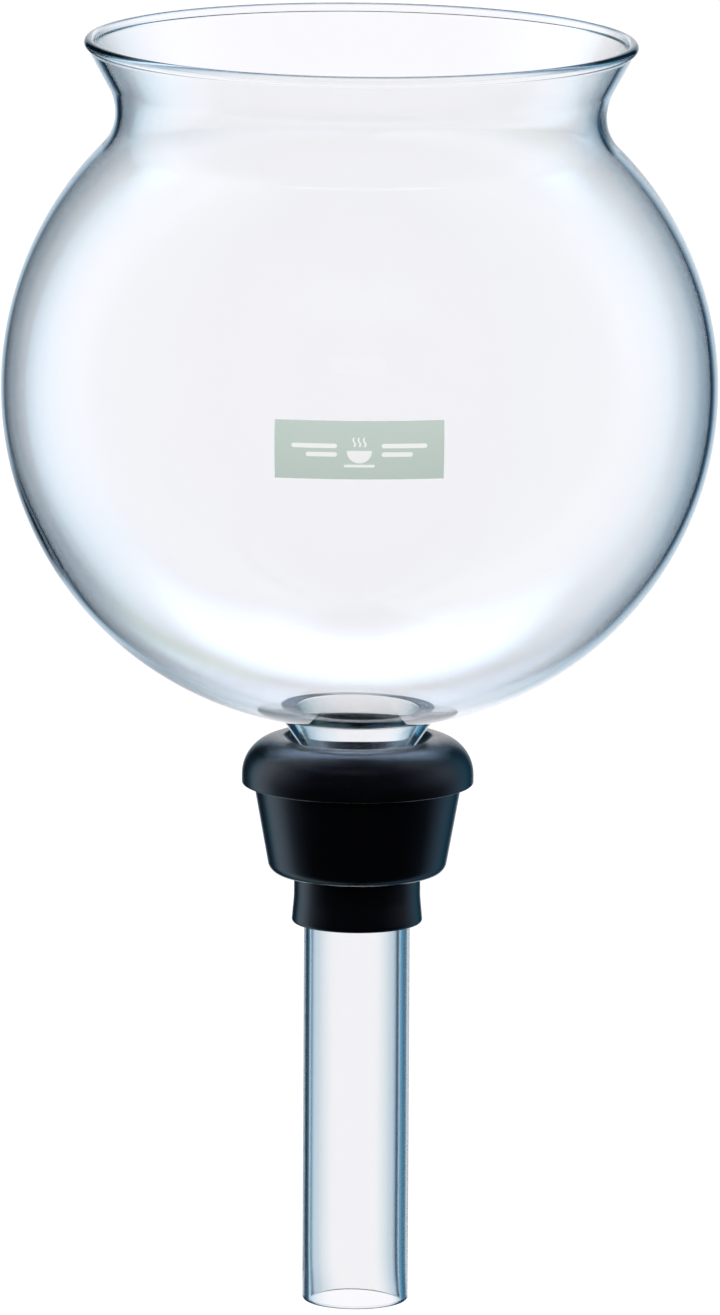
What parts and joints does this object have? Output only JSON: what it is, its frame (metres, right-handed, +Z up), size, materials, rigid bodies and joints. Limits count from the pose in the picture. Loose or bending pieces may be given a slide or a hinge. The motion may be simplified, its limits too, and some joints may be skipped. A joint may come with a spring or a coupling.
{
  "type": "vacuum coffee maker funnel",
  "caption": "Clear glass upper funnel of a vacuum coffee maker: round bowl with a flared mouth, straight stem and a black rubber gasket with a tapered plug.",
  "frame": {"origin": "centre of the gasket flange's underside, the face that rests on the carafe's neck", "axes": "+Z up along the stem's axis towards the mouth; -Y is the front, where the label is; +X to the right of a person who looks at the label"},
  "size_m": [0.1615, 0.1616, 0.2893],
  "materials": {
    "borosilicate_glass": "clear, fire-polished",
    "gasket_rubber": "satin, moulded",
    "label_enamel": "fired enamel print, pale green"
  },
  "bodies": {
    "gasket": {"rubber_gasket": "gasket_rubber"},
    "funnel": {"glass_bowl": "borosilicate_glass", "glass_stem": "borosilicate_glass", "enamel_label": "label_enamel"}
  },
  "joints": [
    {"name": "funnel_lift", "type": "slide", "parent": "gasket", "child": "funnel", "axis": [0, 0, 1], "range_m": [0, 0.135]}
  ]
}
